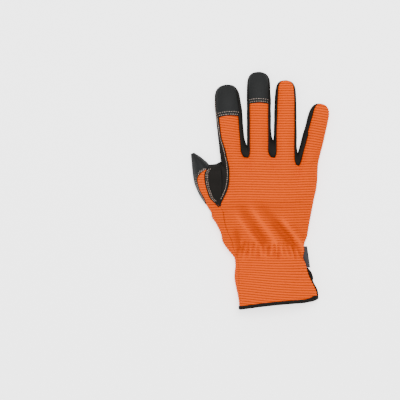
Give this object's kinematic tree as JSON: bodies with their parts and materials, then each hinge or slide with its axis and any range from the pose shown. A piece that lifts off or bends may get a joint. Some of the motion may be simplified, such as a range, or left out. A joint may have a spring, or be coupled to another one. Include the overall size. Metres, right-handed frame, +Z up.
{
  "type": "mechanic glove",
  "caption": "Right-hand mechanic glove lying palm down: orange ribbed knit back and cuff, black synthetic palm, capped fingertips, padded palm and a bound hem.",
  "frame": {"origin": "centre of the bounding box, on the surface the glove lies on", "axes": "+Y from the cuff to the fingertips, +X towards the little finger, +Z up out of the back of the hand"},
  "size_m": [0.142, 0.2448, 0.0269],
  "materials": {
    "orange_knit": "matte ribbed stretch knit",
    "black_leather": "soft brushed synthetic leather",
    "cap_rubber": "smooth coated reinforcement",
    "pad_leather": "soft padded synthetic leather",
    "binding_tape": "woven edge tape",
    "tab_fabric": "woven folded tab"
  },
  "bodies": {
    "root": {"back_panel": "orange_knit", "palm_cuff": "orange_knit", "thumb_back": "orange_knit", "palm_panel": "black_leather", "thumb_palm": "black_leather", "index_side_strip": "black_leather", "index_middle_sidewall": "black_leather", "middle_ring_sidewall": "black_leather", "ring_little_sidewall": "black_leather", "index_cap": "cap_rubber", "middle_cap": "cap_rubber", "thumb_cap": "cap_rubber", "outer_palm_pad": "pad_leather", "inner_palm_pad": "pad_leather", "hem_binding": "binding_tape", "side_tab": "tab_fabric"}
  },
  "joints": []
}
